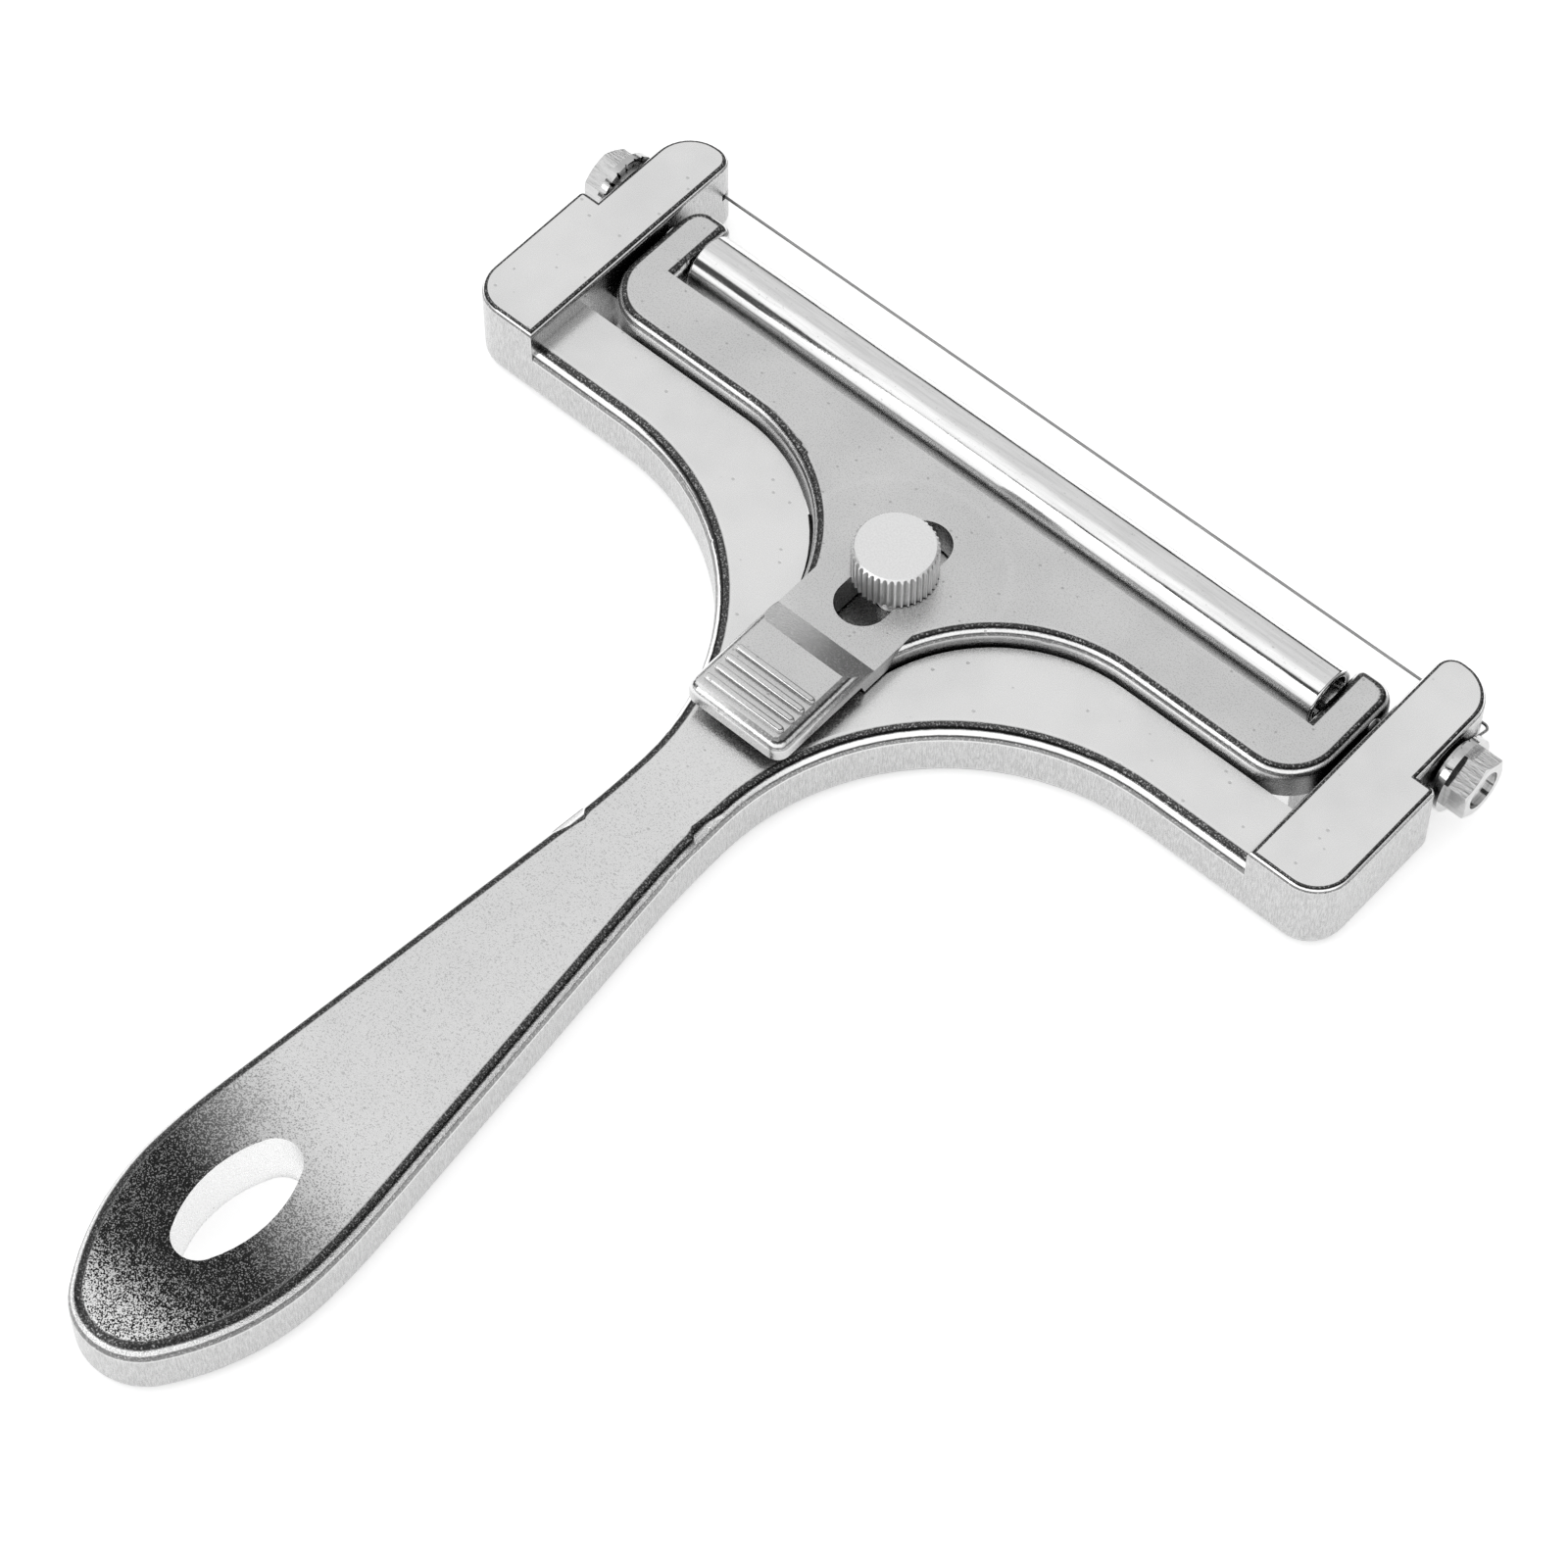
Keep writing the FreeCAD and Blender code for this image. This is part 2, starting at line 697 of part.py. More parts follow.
def thread_rings(doc, body, radius, depth, pitch, low, high):
    """V grooves a pitch apart round a shank on the body's Z axis, from low up to high."""
    count = int((high.number - low.number) / pitch.number)
    profile = sketch_on(body, "XZ_Plane", "ThreadProfile")
    outside = radius + depth
    outline(profile, [
        (outside, low),
        (outside, low + pitch * 1.6),
        (radius - depth, low + pitch * 0.8),
    ])
    groove = body.newObject("PartDesign::Groove", "ThreadGroove")
    groove.Profile = profile
    groove.ReferenceAxis = (profile, ["V_Axis"])
    groove.Angle = 360
    pattern = body.newObject("PartDesign::LinearPattern", "Thread")
    pattern.Originals = [groove]
    pattern.Direction = (profile, ["V_Axis"])
    pattern.Occurrences = count
    bind(pattern, "Length", pitch * (count - 1))
    body.Tip = pattern
    doc.recompute()


def knob(doc, at):
    """The fluted head: it turns on the stud and bears on the plate beside the slot."""
    body = new_body(doc, "thumb_screw_knob")
    blank = sketch_on(body, "XY_Plane", "BlankOutline")
    circle(blank, fixed(0), fixed(0), at.knob_radius)
    pad(body, blank, "Blank", at.knob_height)
    top = at.knob_height.number
    chamfer(doc, body, "KnobEdges", at.knob_edge_chamfer, lambda point, middle: near(point.z, top))
    flute = sketch_on(body, "XY_Plane", "FluteOutline")
    circle(flute, at.knob_radius, fixed(0), at.flute_radius)
    cut = pocket(body, flute, "Flute", symmetric=True)
    repeat_round(body, [cut], "Flutes", at.flute_count, (flute, ["N_Axis"]))
    socket = sketch_on(body, "XY_Plane", "SocketOutline")
    circle(socket, fixed(0), fixed(0), at.stud_radius + at.running_clearance)
    pocket(body, socket, "Socket", at.stud_into_knob + at.knob_lift_gap, flip=True)
    bind(body, "Placement.Base.y", at.screw_y)
    bind(body, "Placement.Base.z", at.plate_top + at.knob_lift_gap)
    return body


def stud(doc, at):
    """The threaded shank, from just above the base up into the knob."""
    body = new_body(doc, "thumb_screw_stud")
    section = sketch_on(body, "XY_Plane", "StudSection", at.stud_above_base)
    circle(section, fixed(0), fixed(0), at.stud_radius)
    top = at.plate_top + at.knob_lift_gap + at.stud_into_knob
    pad(body, section, "Shank", top - at.stud_above_base)
    thread_rings(
        doc, body, at.stud_radius, at.thread_depth, at.thread_pitch,
        at.stud_above_base, at.plate_top - at.thread_pitch,
    )
    bind(body, "Placement.Base.y", at.screw_y)
    return body


def place_on_side(body, at, side, x):
    """Turns a body's own Z axis outwards along X and puts it on the wire screw's axis."""
    body.Placement = Placement(Vector(0, 0, 0), Rotation(Vector(0, 1, 0), 90 * side))
    bind(body, "Placement.Base.x", x * side)
    bind(body, "Placement.Base.y", at.wire_screw_y)
    bind(body, "Placement.Base.z", at.wire_screw_height)


def wire_screw(doc, at, name, side):
    """A hexagon screw with a serrated flange. Its own Z axis points out through the head."""
    body = new_body(doc, name)
    shank = sketch_on(body, "XY_Plane", "ShankSection", -at.shank_length)
    circle(shank, fixed(0), fixed(0), at.shank_radius)
    pad(body, shank, "Shank", at.shank_length + at.flange_thickness / 2)
    flange = sketch_on(body, "XY_Plane", "FlangeSection")
    circle(flange, fixed(0), fixed(0), at.flange_radius)
    pad(body, flange, "Flange", at.flange_thickness)
    head = sketch_on(body, "XY_Plane", "HeadSection", at.flange_thickness)
    apothem, corner = at.hex_across_flats / 2, at.hex_across_flats / math.sqrt(3)
    outline(head, [
        (corner, fixed(0)),
        (corner / 2, apothem),
        (-corner / 2, apothem),
        (-corner, fixed(0)),
        (-corner / 2, -apothem),
        (corner / 2, -apothem),
    ])
    pad(body, head, "Head", at.hex_height)
    top = at.flange_thickness + at.hex_height
    bevel = sketch_on(body, "XZ_Plane", "HeadBevelProfile")
    rise = (corner - apothem) * 0.6
    outline(bevel, [
        (apothem, top + rise),
        (corner + rise, top + rise),
        (corner + rise, top - rise),
        (apothem, top),
    ])
    cut = body.newObject("PartDesign::Groove", "HeadBevel")
    cut.Profile = bevel
    cut.ReferenceAxis = (bevel, ["V_Axis"])
    cut.Angle = 360
    dish = sketch_on(body, "XY_Plane", "HeadDishOutline", top)
    circle(dish, fixed(0), fixed(0), at.hex_dish_radius)
    pocket(body, dish, "HeadDish", at.hex_dish_depth)
    tooth = sketch_on(body, "YZ_Plane", "ToothProfile", at.shank_radius + at.wire_radius * 4)
    outline(tooth, [
        (-at.tooth_half_width, -at.tooth_depth),
        (at.tooth_half_width, -at.tooth_depth),
        (fixed(0), at.tooth_depth),
    ])
    gap = pocket(body, tooth, "ToothGap", at.flange_radius, flip=True)
    repeat_round(body, [gap], "FlangeTeeth", at.tooth_count, (head, ["N_Axis"]))
    thread_rings(
        doc, body, at.shank_radius, at.thread_depth, at.thread_pitch,
        -at.shank_length, -at.thread_pitch,
    )
    place_on_side(body, at, side, at.flange_x)
    return body


def wire_washer(doc, at, name, side):
    body = new_body(doc, name)
    section = sketch_on(body, "XY_Plane", "WasherSection")
    circle(section, fixed(0), fixed(0), at.washer_radius)
    circle(section, fixed(0), fixed(0), at.shank_radius + at.running_clearance)
    pad(body, section, "Washer", at.washer_thickness)
    place_on_side(body, at, side, at.washer_x)
    return body


def wire_half_path(at):
    """Edges of the wire's right half: along the slot, round the ear's edge and round the screw."""
    radius = at.wire_radius.number
    bend = at.wire_bend_radius.number
    ring_x = at.seat_x.number + radius
    start = Vector(0, at.wire_y.number, at.wire_height.number)
    hub = Vector(ring_x, at.wire_screw_y.number, at.wire_screw_height.number)
    wrap = at.shank_radius.number + radius + at.running_clearance.number
    corner = Vector(ring_x, start.y, start.z)
    reach = corner - hub
    tangent_angle = math.atan2(reach.z, reach.y) + math.acos(wrap / reach.Length)

    def on_wrap(angle):
        return hub + Vector(0, math.cos(angle), math.sin(angle)) * wrap

    touch = on_wrap(tangent_angle)
    down = (touch - corner).normalize()
    along = Vector(1, 0, 0)
    bend_start = corner - along * bend
    bend_end = corner + down * bend
    bend_middle = corner + (down - along) * bend * (1 - math.sqrt(0.5))
    turn = math.radians(at.wire_wrap_turn.number)
    return [
        Part.LineSegment(start, bend_start).toShape(),
        Part.Arc(bend_start, bend_middle, bend_end).toShape(),
        Part.LineSegment(bend_end, touch).toShape(),
        Part.Arc(touch, on_wrap(tangent_angle + turn / 2), on_wrap(tangent_angle + turn)).toShape(),
    ]


def cutting_wire(doc, at):
    """One wire from screw to screw: a straight span between the ears and a loop at each end."""
    path = Part.Wire(wire_half_path(at))
    start = Vector(0, at.wire_y.number, at.wire_height.number)
    section = Part.Circle(start, Vector(1, 0, 0), at.wire_radius.number)
    right = path.makePipeShell([Part.Wire(section.toShape())], True, False)
    left = right.mirror(Vector(0, 0, 0), Vector(1, 0, 0))
    wire = doc.addObject("Part::Feature", "cutting_wire")
    wire.Label = "cutting_wire"
    wire.Shape = right.fuse(left).removeSplitter()
    print(f"cutting_wire length along its middle: {2 * path.Length:.1f} mm")
    return wire


def build(doc):
    at = Layout(doc)
    pieces = [frame(doc, at), carriage(doc, at)]
    pieces += roller_parts(doc, at)
    pieces += [knob(doc, at), stud(doc, at), cutting_wire(doc, at)]
    for word, side in (("left", -1), ("right", 1)):
        pieces.append(wire_screw(doc, at, f"wire_screw_{word}", side))
        pieces.append(wire_washer(doc, at, f"wire_washer_{word}", side))
    doc.recompute()
    return pieces


def check(doc, pieces):
    """Stops before anything is written if a feature or a piece is not sound."""
    faults = []
    for item in doc.Objects:
        if "Invalid" in item.State or "Error" in item.State:
            faults.append(f"{item.Label} {item.State} {item.getStatusString()}")
    for piece in pieces:
        if piece.Shape.isNull() or not piece.Shape.isValid():
            faults.append(f"{piece.Label} has no valid shape")
    if faults:
        raise RuntimeError("; ".join(faults))


def main():
    doc = FreeCAD.newDocument("CheeseWireCutter")
    pieces = build(doc)
    check(doc, pieces)
    os.makedirs("parts", exist_ok=True)
    for piece in pieces:
        piece.Shape.exportStep(os.path.join("parts", f"{piece.Label}.step"))
        print(f"{piece.Label}: {piece.Shape.Volume:.1f} mm3, {len(piece.Shape.Solids)} solid")


main()
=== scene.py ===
"""Looks of the cheese wire cutter: materials, roller tube, studio and camera round the frame."""
import json
import math
import bmesh
import bpy
from mathutils import Matrix, Vector


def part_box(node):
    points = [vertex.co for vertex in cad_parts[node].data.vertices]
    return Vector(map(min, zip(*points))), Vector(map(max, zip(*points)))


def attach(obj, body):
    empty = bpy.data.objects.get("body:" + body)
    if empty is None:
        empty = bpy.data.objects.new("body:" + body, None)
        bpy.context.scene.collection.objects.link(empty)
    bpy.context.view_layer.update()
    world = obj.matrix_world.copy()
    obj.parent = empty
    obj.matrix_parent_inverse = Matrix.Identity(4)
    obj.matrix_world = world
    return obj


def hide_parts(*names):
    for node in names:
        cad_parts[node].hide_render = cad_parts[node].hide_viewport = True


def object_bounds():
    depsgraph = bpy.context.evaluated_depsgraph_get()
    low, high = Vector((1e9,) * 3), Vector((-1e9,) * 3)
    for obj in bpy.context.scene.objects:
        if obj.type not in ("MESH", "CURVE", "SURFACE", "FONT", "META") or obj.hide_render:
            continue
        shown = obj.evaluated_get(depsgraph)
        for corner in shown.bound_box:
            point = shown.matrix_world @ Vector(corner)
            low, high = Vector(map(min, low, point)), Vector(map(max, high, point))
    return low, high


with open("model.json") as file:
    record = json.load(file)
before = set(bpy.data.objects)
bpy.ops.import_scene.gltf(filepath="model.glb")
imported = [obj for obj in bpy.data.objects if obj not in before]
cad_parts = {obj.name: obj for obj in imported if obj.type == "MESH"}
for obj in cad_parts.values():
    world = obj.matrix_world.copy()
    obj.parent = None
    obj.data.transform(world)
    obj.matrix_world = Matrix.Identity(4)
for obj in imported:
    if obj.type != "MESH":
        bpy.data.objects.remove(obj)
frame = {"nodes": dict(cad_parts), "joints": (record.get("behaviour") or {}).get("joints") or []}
cad_low, cad_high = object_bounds()
nodes = frame["nodes"]
joints = {joint["name"]: joint for joint in frame["joints"]}
screw_place = Vector(joints["thumb_screw_turn"]["pos_m"])
knob_low, knob_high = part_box("thumb_screw_knob")
knob_radius = (knob_high.x - knob_low.x) / 2

# Places on the casting, in metres
CASTING_TOP = 0.0080
UPPER_ROUND_FOOT = 0.0060
LOWER_ROUND_TOP = 0.0018
NECK_START, NECK_END = -0.028, 0.014
HOLE_CENTRE_Y = -0.0545
HOLE_HALF_WIDTH, HOLE_HALF_LENGTH = 0.0042, 0.0082

GRAIN_SOFTNESS = 0.04
RING_AXIS = (-0.363, 0.400, 0.842)


# ---------------------------------------------------------------- materials
class Nodes:
    """A small helper that adds shader nodes to one tree and links them."""

    def __init__(self, tree):
        self.tree = tree

    def add(self, kind, inputs=None, **settings):
        node = self.tree.nodes.new(kind)
        for key, value in settings.items():
            setattr(node, key, value)
        for key, value in (inputs or {}).items():
            self.feed(node.inputs[key], value)
        return node

    def feed(self, socket, value):
        if isinstance(value, bpy.types.NodeSocket):
            self.tree.links.new(value, socket)
        else:
            socket.default_value = value

    def math(self, operation, first, second=0.0, clamp=False):
        node = self.add("ShaderNodeMath", operation=operation, use_clamp=clamp)
        for index, value in enumerate((first, second)):
            self.feed(node.inputs[index], value)
        return node.outputs[0]

    def times(self, first, second):
        return self.math("MULTIPLY", first, second)

    def plus(self, first, second):
        return self.math("ADD", first, second)

    def minus(self, first, second, clamp=False):
        return self.math("SUBTRACT", first, second, clamp)

    def vector(self, operation, first, second=(0.0, 0.0, 0.0)):
        return self.add("ShaderNodeVectorMath", {0: first, 1: second}, operation=operation).outputs

    def scaled(self, vector, scale):
        inputs = {0: vector, "Scale": scale}
        return self.add("ShaderNodeVectorMath", inputs, operation="SCALE").outputs[0]

    def split(self, vector):
        return self.add("ShaderNodeSeparateXYZ", {"Vector": vector}).outputs

    def join(self, x, y, z):
        return self.add("ShaderNodeCombineXYZ", {"X": x, "Y": y, "Z": z}).outputs[0]

    def ramp(self, value, low, high, out_low=0.0, out_high=1.0, smooth=True):
        node = self.add("ShaderNodeMapRange", clamp=True)
        node.interpolation_type = "SMOOTHSTEP" if smooth else "LINEAR"
        for key, number in (
            ("Value", value), ("From Min", low), ("From Max", high),
            ("To Min", out_low), ("To Max", out_high),
        ):
            self.feed(node.inputs[key], number)
        return node.outputs["Result"]

    def noise(self, where, scale, detail=2.0, rough=0.5, distortion=0.0):
        node = self.add(
            "ShaderNodeTexNoise",
            {"Vector": where, "Scale": scale, "Detail": detail, "Roughness": rough,
             "Distortion": distortion},
        )
        return node.outputs["Fac"]

    def blend(self, share, first, second):
        node = self.add("ShaderNodeMix", data_type="RGBA")
        self.feed(node.inputs["Factor"], share)
        self.feed(node.inputs["A"], first)
        self.feed(node.inputs["B"], second)
        return node.outputs["Result"]

    def stretch(self, where, scale):
        node = self.add("ShaderNodeMapping", {"Vector": where, "Scale": scale})
        return node.outputs["Vector"]


def grey(value, warm=0.0):
    return (value + warm, value, value - warm, 1.0)


def start_material(name):
    """A metal with its tree's helper, shader, object coordinates and their three parts."""
    material = bpy.data.materials.new(name)
    material.use_nodes = True
    made = Nodes(material.node_tree)
    shader = material.node_tree.nodes["Principled BSDF"]
    shader.inputs["Metallic"].default_value = 1.0
    where = made.add("ShaderNodeTexCoord").outputs["Object"]
    parts = made.split(where)
    return material, made, shader, where, parts


def bump(made, shader, height, strength, distance, normal=None):
    node = made.add(
        "ShaderNodeBump", {"Height": height, "Strength": strength, "Distance": distance}
    )
    if normal:
        made.feed(node.inputs["Normal"], normal)
    made.feed(shader.inputs["Normal"], node.outputs["Normal"])


def pits(made, where, scale, share):
    """1 inside small scattered pits and 0 between them."""
    cells = made.add(
        "ShaderNodeTexVoronoi", {"Vector": where, "Scale": scale, "Randomness": 1.0}
    )
    chance = made.add("ShaderNodeSeparateColor", {"Color": cells.outputs["Color"]}).outputs[0]
    here = made.math("LESS_THAN", chance, share)
    round_dot = made.ramp(cells.outputs["Distance"], 0.12, 0.24, 1.0, 0.0)
    return made.times(here, round_dot)


def facing_normal(made):
    return made.add("ShaderNodeNewGeometry").outputs["Normal"]


def neck_normal(made, parts):
    """The surface normal, with the tilt of the neck's coarsely meshed rounds set by their height."""
    normal = facing_normal(made)
    split = made.split(normal)
    upper = made.ramp(parts["Z"], UPPER_ROUND_FOOT, CASTING_TOP, smooth=False)
    lower = made.ramp(parts["Z"], LOWER_ROUND_TOP, 0.0, smooth=False)
    tilt = made.minus(upper, lower)
    level = made.math("SQRT", made.minus(1.0, made.times(tilt, tilt), clamp=True))
    outward = made.vector("NORMALIZE", made.join(split["X"], split["Y"], 0.0))[0]
    outward = made.scaled(outward, level)
    rebuilt = made.vector("ADD", outward, made.join(0.0, 0.0, tilt))[0]
    neck = made.times(
        made.ramp(parts["Y"], NECK_START - 0.002, NECK_START),
        made.ramp(parts["Y"], NECK_END + 0.002, NECK_END),
    )
    mixed = made.add("ShaderNodeMix", data_type="VECTOR")
    made.feed(mixed.inputs[0], neck)
    made.feed(mixed.inputs[4], normal)
    made.feed(mixed.inputs[5], rebuilt)
    return made.vector("NORMALIZE", mixed.outputs[1])[0]


def facing(made, normal):
    """Masks by which way a surface faces: walls, rounded edges, and bands on the rounded edges for
    painted dark reflection lines.
    """
    upward = made.math("ABSOLUTE", made.split(normal)["Z"])
    wall = made.ramp(upward, 0.12, 0.40, 1.0, 0.0)
    edge = made.times(made.ramp(upward, 0.995, 0.96), made.ramp(upward, 0.15, 0.35))
    # bands of tilt on the rounded edges where dark reflections are painted
    upper = made.times(made.ramp(upward, 0.992, 0.97), made.ramp(upward, 0.74, 0.82))
    lower = made.times(made.ramp(upward, 0.60, 0.54), made.ramp(upward, 0.22, 0.32))
    return wall, edge, made.math("MAXIMUM", upper, made.times(lower, 0.8))


def with_painted_reflection_lines(made, colour, lines, fine):
    """A colour with ragged painted dark reflection lines along its rounded edges."""
    ragged = made.times(lines, made.ramp(fine, 0.30, 0.50, 0.55, 1.0))
    return made.blend(made.times(ragged, 0.96), colour, grey(0.015))


def from_screw(made, parts):
    """How far forward of the thumb screw's axis a point lies, and how far out from that axis."""
    offset_y = made.minus(parts["Y"], screw_place.y)
    square = made.plus(made.times(parts["X"], parts["X"]), made.times(offset_y, offset_y))
    return offset_y, made.math("SQRT", square)


def colour_with_painted_shade(made, shader, colour, gap, darkest):
    """Sets the base colour with painted shade, darker where another surface stands within the distance
    gap.
    """
    shade = made.add("ShaderNodeAmbientOcclusion", {"Distance": gap}, samples=8).outputs["AO"]
    open_share = made.ramp(shade, 0.12, 0.62, darkest, 1.0)
    made.feed(shader.inputs["Base Color"], made.blend(open_share, grey(0.01), colour))


def speckle(made, grain, light_share, light, dark):
    """Bright and dark grains; light_share near 1 leaves few dark ones, near 0 few bright ones."""
    middle = made.minus(0.66, made.times(light_share, 0.34))
    span = made.minus(middle, GRAIN_SOFTNESS), made.plus(middle, GRAIN_SOFTNESS)
    here = made.ramp(grain, *span, smooth=False)
    return made.blend(here, dark, light)


def casting_material():
    """Plated casting: smooth pitted ears, a grained handle, and a painted dark reflection with painted
    glints on the end by the hole.
    """
    material, made, shader, where, parts = start_material("plated_casting")
    normal = neck_normal(made, parts)
    wall, edge, lines = facing(made, normal)
    top = made.minus(1.0, wall)
    handle = made.times(made.ramp(parts["Y"], 0.030, 0.004), top)
    slant = made.plus(parts["Y"], made.times(parts["X"], 0.28))
    # painted dark reflection over the handle's end by the hole, lightened again by a painted highlight
    # at the tip rim
    painted_dark_end = made.ramp(slant, -0.036, -0.058)
    painted_tip_highlight = made.ramp(parts["Y"], -0.063, -0.072)
    fine = made.noise(where, 5200.0, 3.0, 0.62)
    grain = made.noise(where, 6200.0, 1.0, 0.55, 0.3)
    waves = made.noise(where, 420.0, 2.0, 0.5)
    cloud = made.noise(where, 70.0, 3.0, 0.6)
    speck = pits(made, where, 900.0, 0.10)
    streaks = made.noise(made.stretch(where, (7000.0, 7000.0, 900.0)), 1.0, 3.0, 0.6)
    colour = made.blend(made.ramp(cloud, 0.3, 0.7), grey(0.84), grey(0.93, 0.002))
    grained = speckle(made, grain, 0.80, grey(0.84), grey(0.46))
    colour = made.blend(made.times(handle, 0.65), colour, grained)
    # share of light grains: fewer on the painted dark end, more on the painted tip highlight, varied
    # at random by the cloud
    share = made.plus(made.minus(0.90, made.times(painted_dark_end, 0.72)), made.times(painted_tip_highlight, 0.30))
    share = made.plus(share, made.times(made.minus(cloud, 0.5), 0.7))
    # colour of the light grains: dim inside the painted dark end, bright painted glints towards the
    # tip
    painted_end_glints = made.blend(made.minus(painted_dark_end, painted_tip_highlight), grey(0.92), grey(0.28))
    colour = made.blend(
        made.times(painted_dark_end, top), colour, speckle(made, grain, share, painted_end_glints, grey(0.02))
    )
    # walls get a darker tone as painted shade, with vertical streaks; the hang hole's walls are left
    # light
    walls = made.blend(made.ramp(streaks, 0.32, 0.68), grey(0.44), grey(0.60))
    hole_x = made.math("ABSOLUTE", parts["X"])
    hole_y = made.math("ABSOLUTE", made.minus(parts["Y"], HOLE_CENTRE_Y))
    hole = made.times(
        made.ramp(hole_x, HOLE_HALF_WIDTH + 0.0010, HOLE_HALF_WIDTH + 0.0004),
        made.ramp(hole_y, HOLE_HALF_LENGTH + 0.0010, HOLE_HALF_LENGTH + 0.0004),
    )
    walls = made.blend(hole, walls, grey(0.9))
    colour = made.blend(wall, colour, walls)
    # painted highlight along the rounded edges, then painted dark reflection lines on them
    colour = made.blend(made.times(edge, 0.8), colour, grey(0.96))
    colour = with_painted_reflection_lines(made, colour, lines, fine)
    colour = made.blend(made.times(speck, 0.4), colour, grey(0.30))
    # painted shade where other surfaces stand within 3 mm
    colour_with_painted_shade(made, shader, colour, 0.0030, 0.05)
    rough = made.ramp(fine, 0.3, 0.7, 0.20, 0.32)
    rough = made.minus(rough, made.times(edge, 0.11))
    made.feed(shader.inputs["Roughness"], rough)
    height = made.times(fine, made.plus(made.times(handle, 0.25), 0.10))
    coarse = made.plus(made.times(handle, 0.35), made.times(painted_dark_end, 0.8))
    height = made.plus(height, made.times(grain, coarse))
    height = made.plus(height, made.times(waves, 0.25))
    height = made.plus(height, made.times(made.times(streaks, wall), 0.4))
    height = made.minus(height, made.times(speck, 0.5))
    bump(made, shader, height, 0.55, 0.00010, normal)
    return material


def plate_material():
    """The carriage: an even fine grain, pits and a faint ring where the thumb screw has rubbed."""
    material, made, shader, where, parts = start_material("carriage_casting")
    normal = facing_normal(made)
    wall, edge, lines = facing(made, normal)
    fine = made.noise(where, 4300.0, 3.0, 0.65)
    grain = made.noise(where, 6200.0, 1.0, 0.55)
    cloud = made.noise(where, 75.0, 3.0, 0.6)
    speck = pits(made, where, 1100.0, 0.14)
    offset_y, radius = from_screw(made, parts)
    ring = made.times(made.ramp(radius, 0.0116, 0.0121), made.ramp(radius, 0.0129, 0.0124))
    colour = made.blend(made.ramp(cloud, 0.3, 0.7), grey(0.64), grey(0.76, 0.002))
    grained = speckle(made, grain, 0.76, grey(0.80), grey(0.44))
    colour = made.blend(0.40, colour, grained)
    colour = made.blend(made.times(ring, 0.10), colour, grey(0.95))
    # painted highlight along the rounded edges
    colour = made.blend(made.times(edge, 0.6), colour, grey(0.88))
    # the painted dark reflection lines are faded over the thumb tab, most towards -X
    tab = made.times(
        made.ramp(made.math("ABSOLUTE", parts["X"]), 0.0070, 0.0064),
        made.ramp(offset_y, -0.0075, -0.0085),
    )
    reflection_line_fade = made.times(tab, made.ramp(parts["X"], 0.005, -0.006, 0.25, 0.9))
    lines = made.times(lines, made.minus(1.0, reflection_line_fade))
    colour = with_painted_reflection_lines(made, colour, lines, fine)
    colour = made.blend(made.times(speck, 0.45), colour, grey(0.25))
    # walls darkened as painted shade
    colour = made.blend(made.times(wall, 0.7), colour, grey(0.50))
    # painted shade where other surfaces stand within 2.2 mm
    colour_with_painted_shade(made, shader, colour, 0.0022, 0.05)
    rough = made.ramp(fine, 0.3, 0.7, 0.24, 0.36)
    made.feed(shader.inputs["Roughness"], made.minus(rough, made.times(edge, 0.13)))
    height = made.plus(made.times(fine, 0.5), made.times(grain, 0.35))
    height = made.minus(height, made.times(speck, 0.6))
    bump(made, shader, height, 0.45, 0.00008)
    return material


def drawn_material(name, tone, along, rough_low, rough_high, strength, dark=0.0):
    """Metal that was drawn, ground or turned: streaks that run where the stretch is small."""
    material, made, shader, where, _parts = start_material(name)
    streaks = made.noise(made.stretch(where, along), 1.0, 4.0, 0.6)
    specks = made.noise(where, 3000.0, 2.0, 0.6)
    cloud = made.noise(where, 150.0, 2.0, 0.5)
    colour = made.blend(made.ramp(streaks, 0.35, 0.7), grey(tone), grey(tone * 0.86))
    dots = made.times(made.ramp(specks, 0.62, 0.75), dark)
    colour = made.blend(dots, colour, grey(tone * 0.3))
    colour = made.blend(made.times(cloud, 0.12), colour, grey(tone * 0.8))
    # painted shade where other surfaces stand within 1.2 mm
    colour_with_painted_shade(made, shader, colour, 0.0012, 0.08)
    made.feed(shader.inputs["Roughness"], made.ramp(streaks, 0.3, 0.7, rough_low, rough_high))
    height = made.plus(streaks, made.times(specks, 0.4))
    bump(made, shader, height, strength, 0.00004)
    return material


def plastic_material():
    material, made, shader, where, _parts = start_material("bush_plastic")
    shader.inputs["Metallic"].default_value = 0.0
    grain = made.noise(where, 4000.0, 3.0, 0.6)
    made.feed(shader.inputs["Base Color"], made.blend(grain, grey(0.012), grey(0.03)))
    made.feed(shader.inputs["Roughness"], made.ramp(grain, 0.3, 0.7, 0.45, 0.6))
    bump(made, shader, grain, 0.3, 0.00004)
    return material


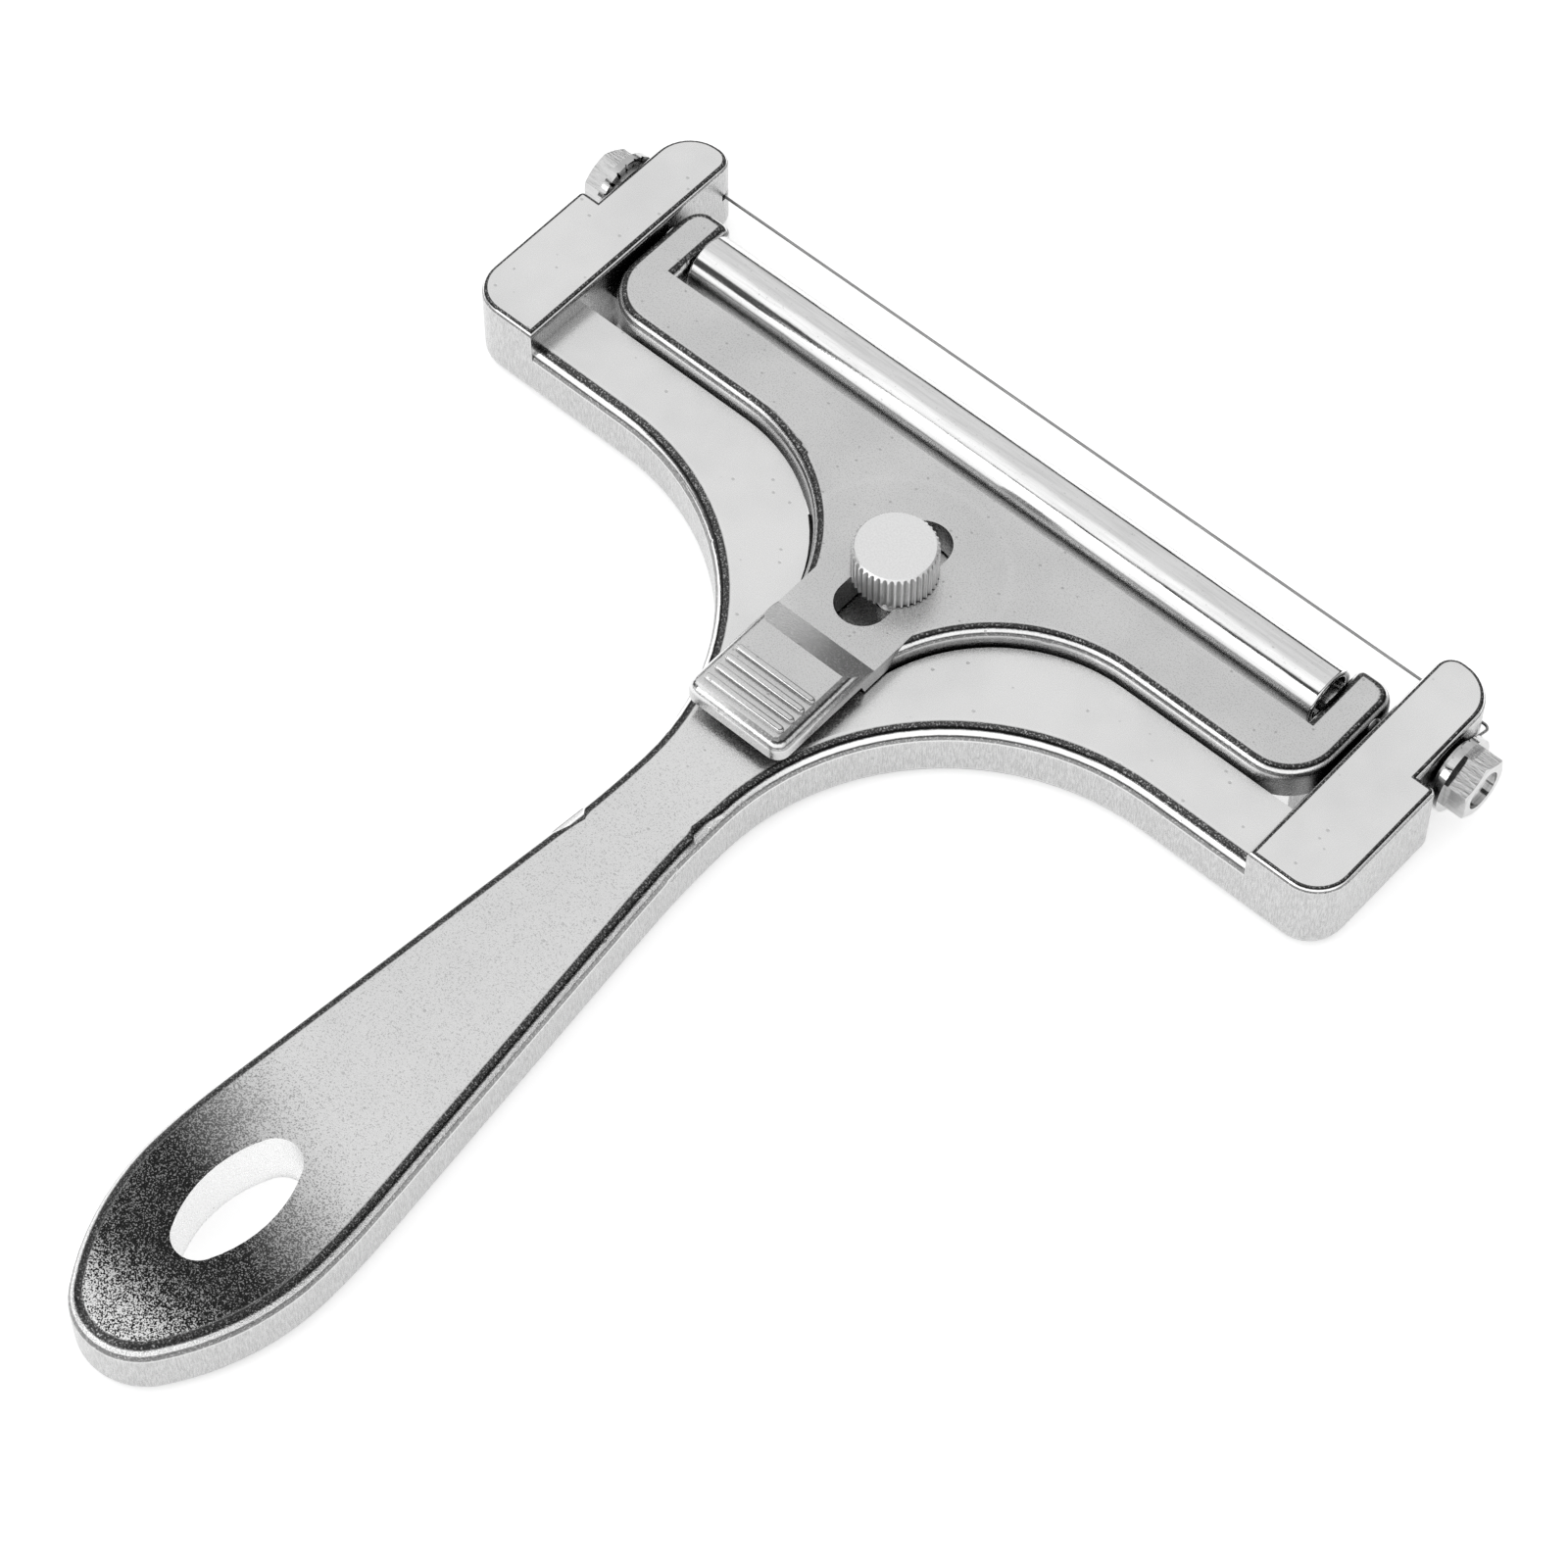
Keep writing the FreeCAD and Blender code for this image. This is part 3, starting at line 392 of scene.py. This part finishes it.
def knob_material():
    """A fine matte top, with painted shade, nearly black, in the grooves between the flutes."""
    material, made, shader, where, parts = start_material("knob_metal")
    wall = facing(made, facing_normal(made))[0]
    fine = made.noise(where, 5200.0, 3.0, 0.7)
    grain = made.noise(where, 2600.0, 2.0, 0.6)
    colour = made.blend(made.ramp(fine, 0.35, 0.65), grey(0.88), grey(0.98))
    _offset_y, radius = from_screw(made, parts)
    # painted shade on the groove walls inside the flutes' outer radius
    flutes = made.ramp(radius, knob_radius - 0.0001, knob_radius - 0.0004)
    groove_shade = made.times(flutes, wall)
    colour = made.blend(made.times(groove_shade, 0.9), colour, grey(0.04))
    # painted shade where other surfaces stand within 0.6 mm
    colour_with_painted_shade(made, shader, colour, 0.0006, 0.08)
    made.feed(shader.inputs["Roughness"], made.ramp(grain, 0.3, 0.7, 0.34, 0.46))
    bump(made, shader, made.plus(fine, grain), 0.35, 0.00006)
    return material


# node: slot, tone, streak frequency along X, Y and Z, least and most roughness, bump, dark specks
DRAWN = {
    "roller_tube": ("polished_tube", 0.88, (160.0, 2600.0, 2600.0), 0.06, 0.13, 0.14, 0.35),
    "roller_axle": ("steel_rod", 0.75, (300.0, 3000.0, 3000.0), 0.18, 0.3, 0.3),
    "thumb_screw_stud": ("steel_thread", 0.55, (2500.0, 2500.0, 400.0), 0.2, 0.35, 0.3),
    "cutting_wire": ("wire_steel", 0.34, (300.0, 5000.0, 5000.0), 0.22, 0.36, 0.3),
    "wire_screw_left": ("bright_screw", 0.62, (500.0, 900.0, 5200.0), 0.05, 0.16, 0.3),
    "wire_washer_left": ("washer_steel", 0.62, (3000.0, 900.0, 900.0), 0.22, 0.36, 0.3),
}
finishes = {
    "frame": casting_material(),
    "roller_carriage": plate_material(),
    "thumb_screw_knob": knob_material(),
    "roller_bush_left": plastic_material(),
}
for name, settings in DRAWN.items():
    finishes[name] = drawn_material(*settings)
for side_node in ("wire_screw", "wire_washer", "roller_bush"):
    finishes[f"{side_node}_right"] = finishes[f"{side_node}_left"]
for name, node in nodes.items():
    node.data.materials.clear()
    node.data.materials.append(finishes[name])


# ---------------------------------------------------------------- roller tube with rolled rims
def lathe_along_x(name, profile, centre, steps=128):
    """A closed ring of revolution about the X direction through centre, from (x, radius) points."""
    mesh = bpy.data.meshes.new(name)
    made = bmesh.new()
    rings = []
    for x, radius in profile:
        ring = []
        for index in range(steps):
            angle = 2 * math.pi * index / steps
            offset = Vector((x, radius * math.cos(angle), radius * math.sin(angle)))
            ring.append(made.verts.new(centre + offset))
        rings.append(ring)
    for index, ring in enumerate(rings):
        after = rings[(index + 1) % len(rings)]
        for step in range(steps):
            following = (step + 1) % steps
            made.faces.new((ring[step], ring[following], after[following], after[step]))
    bmesh.ops.recalc_face_normals(made, faces=made.faces)
    made.to_mesh(mesh)
    made.free()
    for polygon in mesh.polygons:
        polygon.use_smooth = True
    mesh.set_sharp_from_angle(angle=math.radians(40))
    piece = bpy.data.objects.new(name, mesh)
    bpy.context.scene.collection.objects.link(piece)
    return piece


def quarter(centre_x, centre_radius, size, first, last, steps=5):
    """Points of a rounded corner of a lathe profile, between two angles in degrees."""
    points = []
    for index in range(steps + 1):
        angle = math.radians(first + (last - first) * index / steps)
        points.append((centre_x + size * math.cos(angle), centre_radius + size * math.sin(angle)))
    return points


tube_low, tube_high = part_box("roller_tube")
tube_centre = (tube_low + tube_high) / 2
tube_half = (tube_high.x - tube_low.x) / 2
tube_radius = (tube_high.z - tube_low.z) / 2
tube_wall = 0.0008
rim_outer, rim_inner = 0.00028, 0.00018
profile = (
    quarter(tube_half - rim_outer, tube_radius - rim_outer, rim_outer, 90, 0)
    + quarter(tube_half - rim_inner, tube_radius - tube_wall + rim_inner, rim_inner, 0, -90)
    + quarter(rim_inner - tube_half, tube_radius - tube_wall + rim_inner, rim_inner, -90, -180)
    + quarter(rim_outer - tube_half, tube_radius - rim_outer, rim_outer, 180, 90)
)
tube = lathe_along_x("roller_tube_skin", profile, tube_centre)
tube.data.materials.append(finishes["roller_tube"])
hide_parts("roller_tube")
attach(tube, "roller_body")


# ---------------------------------------------------------------- studio
def studio_world():
    """White surroundings with a dark ring round RING_AXIS and a dim horizon; the camera sees white."""
    world = bpy.data.worlds.new("studio")
    bpy.context.scene.world = world
    world.use_nodes = True
    made = Nodes(world.node_tree)
    background = world.node_tree.nodes["Background"]
    where = made.add("ShaderNodeTexCoord").outputs["Generated"]
    parts = made.split(where)
    reach = made.vector("DOT_PRODUCT", where, RING_AXIS)["Value"]
    ring = made.times(made.ramp(reach, 0.23, 0.30), made.ramp(reach, 0.64, 0.55))
    gap = made.minus(1.0, made.times(ring, 0.95))
    back = made.ramp(parts["Y"], -0.15, 0.25, 1.15, 0.77)
    horizon = made.ramp(parts["Z"], 0.05, 0.25, 0.05, 1.0)
    level = made.times(made.times(gap, back), horizon)
    seen = made.add("ShaderNodeLightPath").outputs["Is Camera Ray"]
    strength = made.times(made.minus(1.0, seen), level)
    strength = made.plus(strength, seen)
    background.inputs["Color"].default_value = (1.0, 1.0, 1.0, 1.0)
    made.feed(background.inputs["Strength"], strength)


def studio_floor():
    """A large pale floor just under the part."""
    half_size, clearance = 6.0, 0.00002
    mesh = bpy.data.meshes.new("floor")
    made = bmesh.new()
    bmesh.ops.create_grid(made, x_segments=1, y_segments=1, size=half_size)
    made.to_mesh(mesh)
    made.free()
    floor = bpy.data.objects.new("floor", mesh)
    floor.location.z = cad_low.z - clearance
    bpy.context.scene.collection.objects.link(floor)
    material = bpy.data.materials.new("floor_paper")
    material.use_nodes = True
    shader = material.node_tree.nodes["Principled BSDF"]
    shader.inputs["Base Color"].default_value = grey(0.80)
    shader.inputs["Roughness"].default_value = 0.9
    shader.inputs["Specular IOR Level"].default_value = 0.1
    shader.inputs["Emission Color"].default_value = grey(1.0)
    shader.inputs["Emission Strength"].default_value = 0.62
    mesh.materials.append(material)


def soft_light(name, place, target, size, energy):
    data = bpy.data.lights.new(name, "AREA")
    data.shape = "SQUARE"
    data.size = size
    data.energy = energy
    light = bpy.data.objects.new(name, data)
    light.location = place
    light.rotation_mode = "QUATERNION"
    light.rotation_quaternion = (Vector(target) - Vector(place)).to_track_quat("-Z", "Y")
    bpy.context.scene.collection.objects.link(light)


def studio_camera():
    """A long-lens view from above, in front and to the right, very slightly rolled."""
    place = Vector((0.20171, -0.20283, 0.46006))
    target = Vector((0.003913, 0.022228, -0.001327))
    roll = math.radians(0.284)
    data = bpy.data.cameras.new("camera")
    data.sensor_width = 36.0
    data.lens = 119.56
    camera = bpy.data.objects.new("camera", data)
    camera.rotation_mode = "QUATERNION"
    turn = (target - place).to_track_quat("-Z", "Y").to_matrix().to_4x4()
    camera.matrix_world = Matrix.Translation(place) @ turn @ Matrix.Rotation(roll, 4, "Z")
    data.clip_start = 0.01
    data.clip_end = 20.0
    bpy.context.scene.collection.objects.link(camera)
    bpy.context.scene.camera = camera


studio_world()
studio_floor()
soft_light("softbox", (-0.45, -1.1, 0.95), (0.0, 0.02, 0.0), 0.7, 3.0)
studio_camera()
bpy.context.scene.view_settings.view_transform = "Standard"
